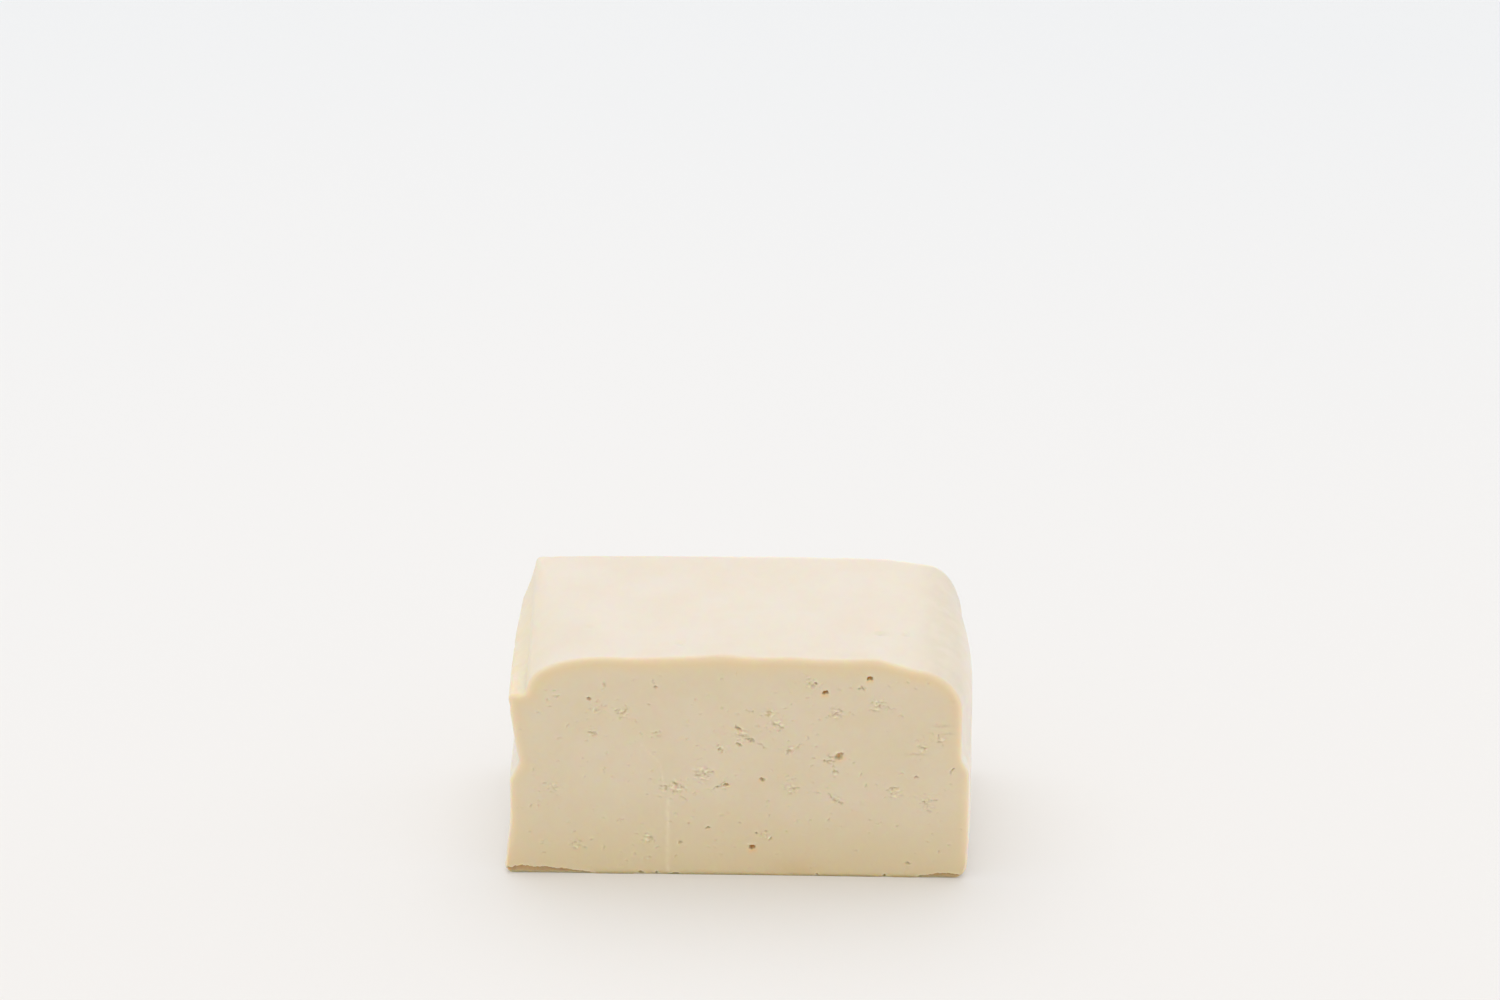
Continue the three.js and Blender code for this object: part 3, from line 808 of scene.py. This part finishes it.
def block_shape():
    """The whole closed block: points, faces, which points lie on the cut face, and its rim."""
    rings = cut_edge_rings() + wall_rings() + end_rings()
    count = len(rings[0])
    faces = []
    for number in range(len(rings) - 1):
        for i in range(count):
            a = number * count + i
            b = number * count + (i + 1) % count
            faces.append((a, b, b + count, a + count))
    points = np.concatenate(rings)

    rim = rings[0][:, [0, 2]]
    lattice = face_lattice(rim.min(axis=0), rim.max(axis=0))
    triangles, inner = filled(rim, lattice, FACE_CLEAR * FACE_GAP)
    on_face = [*range(count), *range(len(points), len(points) + len(inner))]
    faces += [tuple(on_face[corner] for corner in face) for face in triangles]
    points = np.concatenate([points, upright(inner, 0.0)])

    outline = rings[-1][:, [0, 2]]
    triangles, inner = filled(outline, end_grid(outline), END_GAP / 2.0)
    last = (len(rings) - 1) * count
    at_end = [*range(last, last + count), *range(len(points), len(points) + len(inner))]
    faces += [tuple(at_end[corner] for corner in reversed(face)) for face in triangles]
    points = np.concatenate([points, upright(inner, end_back(inner[:, 0]))])
    return points, faces, np.array(on_face), rim


def colour_masks(points):
    """Where the block's colour differs by its place, each mask from 0 to 1: a stain, and painted
    light and shade at the foot, the ledge, the right shoulder, the walls and the far edge of the top.
    """
    x, y, z = points.T
    stain = STAIN["share"] * bell(x - STAIN["x"], STAIN["width"])
    stain *= 1.0 - smoothstep(z, 0.0, STAIN["height"])
    edge_x, edge_z = LEDGE_OUTER[0]
    on_ledge = 1.0 - smoothstep(x, edge_x + LEDGE_GLOW["inner"], edge_x + LEDGE_GLOW["outer"])
    shoulder_shade = smoothstep(x, *SHOULDER_SHADE["in"]) * (1.0 - smoothstep(x, *SHOULDER_SHADE["out"]))
    outermost = smoothstep(np.abs(x), *WALL_LIGHT["out"])
    return {
        # painted shade along the foot, and a stain
        "foot": np.maximum(stain, 1.0 - smoothstep(z, *FOOT_SHADE_HEIGHTS)),
        "ledge_glow": on_ledge * bell(z - edge_z - LEDGE_GLOW["above"], LEDGE_GLOW["height"]),
        "shoulder_shade": shoulder_shade * smoothstep(z, *SHOULDER_SHADE["up"]),
        "walls": outermost * (1.0 - smoothstep(z, *WALL_LIGHT["up"])),
        "edge_highlight": smoothstep(y, *EDGE_HIGHLIGHT["back"]) * smoothstep(z, *EDGE_HIGHLIGHT["up"]),
    }


def dressed_block():
    """The shape with its relief, and the masks that the material reads."""
    points, faces, on_face, rim = block_shape()
    normals = corner_normals(points, faces)

    cut = np.zeros(len(points))
    cut[on_face] = 1.0
    for step in range(1, EDGE_STEPS):
        cut[step * len(rim):(step + 1) * len(rim)] = 1.0 - step / EDGE_STEPS

    skin = skin_relief(points) * (1.0 - cut)
    points = points + normals * skin[:, None]

    place = points[on_face][:, [0, 2]]
    depth, hollow_shade, lip, crumbled, glow = face_relief(place)
    rim_distance = distance_to(place, closed(rim))
    hold = smoothstep(rim_distance, 0.0, RIM_HOLD)
    points[on_face, 1] += depth * hold
    points, broken, broken_lip = broken_foot(points)
    points[:, 1] -= toe(points)

    # The marks carry painted shade, painted highlights on their lips and painted light below deep
    # pores.
    masks = {name: np.zeros(len(points)) for name in ("hollow_shade", "lip", "crumbled", "glow")}
    masks["hollow_shade"][on_face] = hollow_shade * hold
    masks["glow"][on_face] = glow
    masks["lip"][on_face] = lip * hold
    masks["lip"] = np.maximum(masks["lip"], broken_lip)
    masks["crumbled"][on_face] = crumbled
    masks["rim"] = np.ones(len(points))
    lit = np.exp(-rim_distance / RIM_FADE)
    masks["rim"][on_face] = lit * smoothstep(place[:, 1], 0.0, RIM_LOW)
    return points, faces, {**masks, "broken": broken, "cut": cut, **colour_masks(points)}


def tofu_piece():
    """The dressed block as a mesh in metres, set onto the CAD node's box."""
    points, faces, masks = dressed_block()
    low, high = points.min(axis=0), points.max(axis=0)
    cad_low, cad_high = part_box(NODE)
    shift = np.array([
        (cad_low[0] + cad_high[0]) / 2.0 - MM * (low[0] + high[0]) / 2.0,
        cad_low[1],
        cad_low[2],
    ])
    mesh = bpy.data.meshes.new("tofu")
    mesh.from_pydata((points * MM + shift).tolist(), [], faces)
    mesh.polygons.foreach_set("use_smooth", [True] * len(mesh.polygons))
    for name, values in masks.items():
        layer = mesh.attributes.new(name, "FLOAT", "POINT")
        layer.data.foreach_set("value", values.astype(np.float32))
    mesh.update()
    tofu = bpy.data.objects.new("tofu", mesh)
    bpy.context.scene.collection.objects.link(tofu)
    return tofu


# ---------------- materials
def linear(red, green, blue):
    """A colour given as it shows on screen, 0 to 255, in the shader's linear values."""
    shown = [v / 255.0 for v in (red, green, blue)]
    return tuple(v / 12.92 if v <= 0.04045 else ((v + 0.055) / 1.055) ** 2.4 for v in shown) + (1.0,)


class Nodes:
    """Short calls that add nodes to one material and link them."""

    def __init__(self, material):
        material.use_nodes = True
        self.tree = material.node_tree
        self.shader = self.tree.nodes["Principled BSDF"]
        self.place = self.add("ShaderNodeTexCoord").outputs["Object"]

    def add(self, kind, inputs=None, **settings):
        made = self.tree.nodes.new(kind)
        for name, value in settings.items():
            setattr(made, name, value)
        for socket, value in (inputs or {}).items():
            self.set(made.inputs[socket], value)
        return made

    def set(self, socket, value):
        if isinstance(value, bpy.types.NodeSocket):
            self.tree.links.new(value, socket)
        else:
            socket.default_value = value

    def mask(self, name):
        return self.add("ShaderNodeAttribute", attribute_name=name).outputs["Fac"]

    def axis(self, name):
        return self.add("ShaderNodeSeparateXYZ", {"Vector": self.place}).outputs[name]

    def noise(self, size, detail):
        """Noise from 0 to 1 with features about `size` millimetres long."""
        inputs = {"Vector": self.place, "Scale": 1.0 / (size * MM), "Detail": detail}
        return self.add("ShaderNodeTexNoise", inputs).outputs["Fac"]

    def spread(self, value, low, high, to_low=0.0, to_high=1.0):
        """A value's range from low to high, carried over to another range."""
        inputs = {"Value": value, "From Min": low, "From Max": high}
        inputs.update({"To Min": to_low, "To Max": to_high})
        return self.add("ShaderNodeMapRange", inputs).outputs["Result"]

    def uneven(self, size, detail, *ranges):
        return self.spread(self.noise(size, detail), *ranges)

    def math(self, operation, first, second):
        return self.add("ShaderNodeMath", {0: first, 1: second}, operation=operation).outputs[0]

    def blend(self, share, first, second):
        made = self.add("ShaderNodeMix", data_type="RGBA")
        sockets = {s.identifier: s for s in made.inputs}
        self.set(sockets["Factor_Float"], share)
        self.set(sockets["A_Color"], first)
        self.set(sockets["B_Color"], second)
        return next(s for s in made.outputs if s.identifier == "Result_Color")

    def bump(self, height, sizes, under=None):
        inputs = {"Height": height, "Distance": sizes["reach"] * MM, "Strength": sizes["strength"]}
        if under is not None:
            inputs["Normal"] = under
        return self.add("ShaderNodeBump", inputs).outputs["Normal"]

    def shade(self, inputs):
        for name, value in inputs.items():
            self.set(self.shader.inputs[name], value)


SKIN_COLOUR = linear(232, 222, 207)
SKIN_SHADE = linear(231, 219, 201)
LEDGE_GLOW_COLOUR = linear(236, 222, 192)  # painted light on the ledge, which lets more light through
SHOULDER_SHADE_COLOUR = linear(224, 213, 194)  # painted shade where the right shoulder turns down
EDGE_HIGHLIGHT_COLOUR = linear(243, 236, 222)  # a painted highlight along the sharp far edge of the top
CURD_COLOUR = linear(231, 217, 190)
CURD_SHADE = linear(229, 214, 184)
LOW_SHADE_COLOUR = linear(226, 209, 171)  # painted shade: the cut face darker towards the foot
TORN_SHADE_COLOUR = linear(213, 196, 158)  # painted shade on the floor of a shallow mark
PORE_SHADE_COLOUR = linear(226, 175, 108)  # painted shade inside a deep one, warm as with light scattered in the curd
GLOW_COLOUR = linear(240, 202, 148)
# painted shade under the broken edge
BROKEN_SHADE_COLOUR = linear(218, 187, 142)
WALL_LIGHT_COLOUR = linear(238, 229, 214)  # painted light: the lower walls painted paler, as they look at a grazing angle
FOOT_SHADE_AND_STAIN_COLOUR = linear(222, 190, 138)  # painted shade along the last half millimetre above the table, and a stain
# painted highlight on raised lips, crumbs, the crack and the streak
LIP_HIGHLIGHT_COLOUR = linear(243, 230, 203)
# painted light that the edge lets through
RIM_GLOW_COLOUR = linear(240, 224, 192)
INNER_GLOW_COLOUR = linear(234, 215, 177)  # painted light glowing through just inside the rim
LOW_SHADE_HEIGHT = 14.0
# Painted light along the rim, which the edge lets through: colour, how near to the rim it sets in,
# and its share low down.
RIM_GLOWS = [(INNER_GLOW_COLOUR, (0.05, 0.5), 0.45), (RIM_GLOW_COLOUR, (0.5, 1.0), 0.65)]
RIM_GLOW_HEIGHTS = (26.0, 34.0)  # above these heights they have their full share
GLOW_SHARE, LIP_HIGHLIGHT_SHARE = 0.6, 0.65
TORN_SHADE_SPAN, PORE_SHADE_SPAN = (0.0, 0.4), (0.45, 1.0)  # how dark a mark's painted shade is where its two colours set in
# Unevenness: feature size in mm, detail, the noise's range, and the range it is carried over to.
PATCHES = (9.0, 3.0, 0.35, 0.65)
FLECKS = (1.6, 2.0, 0.4, 0.7, 0.0, 0.21)
PATCHY = (3.0, 2.0, 0.35, 0.6, 0.5, 1.0)
ROUGHNESS = (2.4, 2.0, 0.3, 0.7, 0.36, 0.48)
CUT_ROUGHER = 0.16
SKIN_GRAIN, CUT_GRAIN, CRUMB_GRAIN = (1.3, 4.0), (0.45, 5.0), (0.3, 3.0)  # size and detail
GRAIN_BUMP = {"reach": 0.035, "strength": 0.5}
CRUMB_BUMP = {"reach": 0.08, "strength": 0.6}
SCATTER = (1.0, 0.55, 0.25)  # how far red, green and blue light spread in the curd, in mm
CURD_SHINE = 0.4


def curd_material():
    """Moist curd: a fine-grained cut face with pores darkened by painted shade, and a smoother, paler
    skin; light and shade are also painted along the rim, the lips, the foot and parts of the skin.
    """
    material = bpy.data.materials.new("tofu_curd")
    nodes = Nodes(material)
    cut, hollow_shade, rim = nodes.mask("cut"), nodes.mask("hollow_shade"), nodes.mask("rim")
    height = nodes.axis("Z")

    patches, patchy = nodes.uneven(*PATCHES), nodes.uneven(*PATCHY)
    skin = nodes.blend(patches, SKIN_COLOUR, SKIN_SHADE)
    # painted light on the lower walls
    skin = nodes.blend(nodes.mask("walls"), skin, WALL_LIGHT_COLOUR)
    # painted light glowing through the ledge
    skin = nodes.blend(nodes.math("MULTIPLY", nodes.mask("ledge_glow"), patchy), skin, LEDGE_GLOW_COLOUR)
    # painted shade on the right shoulder
    skin = nodes.blend(nodes.math("MULTIPLY", nodes.mask("shoulder_shade"), patchy), skin, SHOULDER_SHADE_COLOUR)
    # painted highlight along the far edge of the top
    skin = nodes.blend(nodes.mask("edge_highlight"), skin, EDGE_HIGHLIGHT_COLOUR)

    curd = nodes.blend(patches, CURD_COLOUR, CURD_SHADE)
    curd = nodes.blend(nodes.uneven(*FLECKS), curd, SKIN_SHADE)
    # painted shade, darker towards the foot
    curd = nodes.blend(nodes.spread(height, 0.0, LOW_SHADE_HEIGHT * MM, 1.0, 0.0), curd, LOW_SHADE_COLOUR)
    # painted light along the rim
    for colour, reach, share in RIM_GLOWS:
        upwards = nodes.spread(height, *[z * MM for z in RIM_GLOW_HEIGHTS], share, 1.0)
        tint = nodes.math("MULTIPLY", nodes.spread(rim, *reach), upwards)
        curd = nodes.blend(tint, curd, colour)
    # painted shade at the foot, and a stain
    curd = nodes.blend(nodes.mask("foot"), curd, FOOT_SHADE_AND_STAIN_COLOUR)
    curd = nodes.blend(nodes.math("MULTIPLY", nodes.mask("glow"), GLOW_SHARE), curd, GLOW_COLOUR)
    # painted highlight on the lips
    curd = nodes.blend(nodes.math("MULTIPLY", nodes.mask("lip"), LIP_HIGHLIGHT_SHARE), curd, LIP_HIGHLIGHT_COLOUR)
    # painted shade in the marks and between the crumbs
    curd = nodes.blend(nodes.spread(hollow_shade, *TORN_SHADE_SPAN), curd, TORN_SHADE_COLOUR)
    curd = nodes.blend(nodes.spread(hollow_shade, *PORE_SHADE_SPAN), curd, PORE_SHADE_COLOUR)
    # painted shade in the broken foot
    curd = nodes.blend(nodes.mask("broken"), curd, BROKEN_SHADE_COLOUR)

    rougher = nodes.math("MULTIPLY", cut, CUT_ROUGHER)
    grain = nodes.blend(cut, nodes.noise(*SKIN_GRAIN), nodes.noise(*CUT_GRAIN))
    rubble = nodes.math("MULTIPLY", nodes.noise(*CRUMB_GRAIN), nodes.mask("crumbled"))
    nodes.shade({
        "Base Color": nodes.blend(cut, skin, curd),
        "Roughness": nodes.math("ADD", nodes.uneven(*ROUGHNESS), rougher),
        "Normal": nodes.bump(rubble, CRUMB_BUMP, nodes.bump(grain, GRAIN_BUMP)),
        "Subsurface Weight": 1.0,
        "Subsurface Radius": SCATTER,
        "Subsurface Scale": MM,
        "Specular IOR Level": CURD_SHINE,
    })
    return material


TABLE_HALF = 6.0  # metres, as are the next two and the lights further down
TABLE_WARM, TABLE_COOL = -0.1, 0.45  # how far behind the cut face the table has each colour: painted warm light near the block, painted shade at the back
TABLE_WANDER = (400.0, 2.0, 0.3, 0.7, -0.1, 0.1)
TABLE_LIGHT_AND_SHADE = (linear(240, 237, 234), linear(233, 234, 235))


def table_material():
    """A plain pale table top with a barely uneven, matt surface, with painted warm light near the
    block and painted shade, a little cooler, at the back.
    """
    material = bpy.data.materials.new("pale_table")
    nodes = Nodes(material)
    # painted light and shade: warm near the block, darker and cooler at the back
    cooler = nodes.spread(nodes.axis("Y"), TABLE_WARM, TABLE_COOL)
    share = nodes.math("ADD", cooler, nodes.uneven(*TABLE_WANDER))
    colour = nodes.blend(share, *TABLE_LIGHT_AND_SHADE)
    nodes.shade({"Base Color": colour, "Roughness": 0.6, "Specular IOR Level": 0.2})
    return material


# ---------------- table, light and camera
# Soft round lights: place, aim, width and power.
LIGHTS = {
    "overhead": ((-0.15, 0.32, 1.1), (0.0, 0.0, 0.0), 1.6, 4.0),
    "right": ((1.0, 0.4, 0.15), (0.0, 0.0, 0.02), 0.7, 0.9),
}
WORLD_LIGHT = 0.86


def table_top():
    mesh = bpy.data.meshes.new("table_top")
    corners = [(x * TABLE_HALF, y * TABLE_HALF, 0.0) for x, y in ((-1, -1), (1, -1), (1, 1), (-1, 1))]
    mesh.from_pydata(corners, [], [(0, 1, 2, 3)])
    mesh.materials.append(table_material())
    floor = bpy.data.objects.new("table_top", mesh)
    bpy.context.scene.collection.objects.link(floor)
    return floor


def lights():
    for name, (place, aim, width, power) in LIGHTS.items():
        data = bpy.data.lights.new(name, "AREA")
        data.shape = "DISK"
        data.size = width
        data.energy = power
        lamp = bpy.data.objects.new(name, data)
        lamp.location = place
        lamp.rotation_euler = (Vector(aim) - Vector(place)).to_track_quat("-Z", "Y").to_euler()
        bpy.context.scene.collection.objects.link(lamp)
    world = bpy.data.worlds.new("studio")
    world.use_nodes = True
    background = world.node_tree.nodes["Background"]
    background.inputs["Color"].default_value = (1.0, 1.0, 1.0, 1.0)
    background.inputs["Strength"].default_value = WORLD_LIGHT
    bpy.context.scene.world = world


CAMERA_PLACE = (37.66, -829.44, 401.27)  # in mm, and the two angles in degrees
CAMERA_LENS = 132.0
CAMERA_SENSOR = 36.0
CAMERA_DOWN = 22.5
CAMERA_TURN = 2.5
CAMERA_CLIP = (0.05, 50.0)


def camera():
    data = bpy.data.cameras.new("camera")
    data.lens = CAMERA_LENS
    data.sensor_width = CAMERA_SENSOR
    data.sensor_fit = "HORIZONTAL"
    data.clip_start, data.clip_end = CAMERA_CLIP
    made = bpy.data.objects.new("camera", data)
    made.location = [v * MM for v in CAMERA_PLACE]
    made.rotation_euler = (math.radians(90.0 - CAMERA_DOWN), 0.0, math.radians(CAMERA_TURN))
    bpy.context.scene.collection.objects.link(made)
    bpy.context.scene.camera = made


# ---------------- the scene
camera()
table_top()
lights()
bpy.context.scene.view_settings.view_transform = "Standard"

tofu = tofu_piece()
tofu.data.materials.append(curd_material())
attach(tofu, "root")
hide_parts(NODE)

bpy.context.view_layer.update()
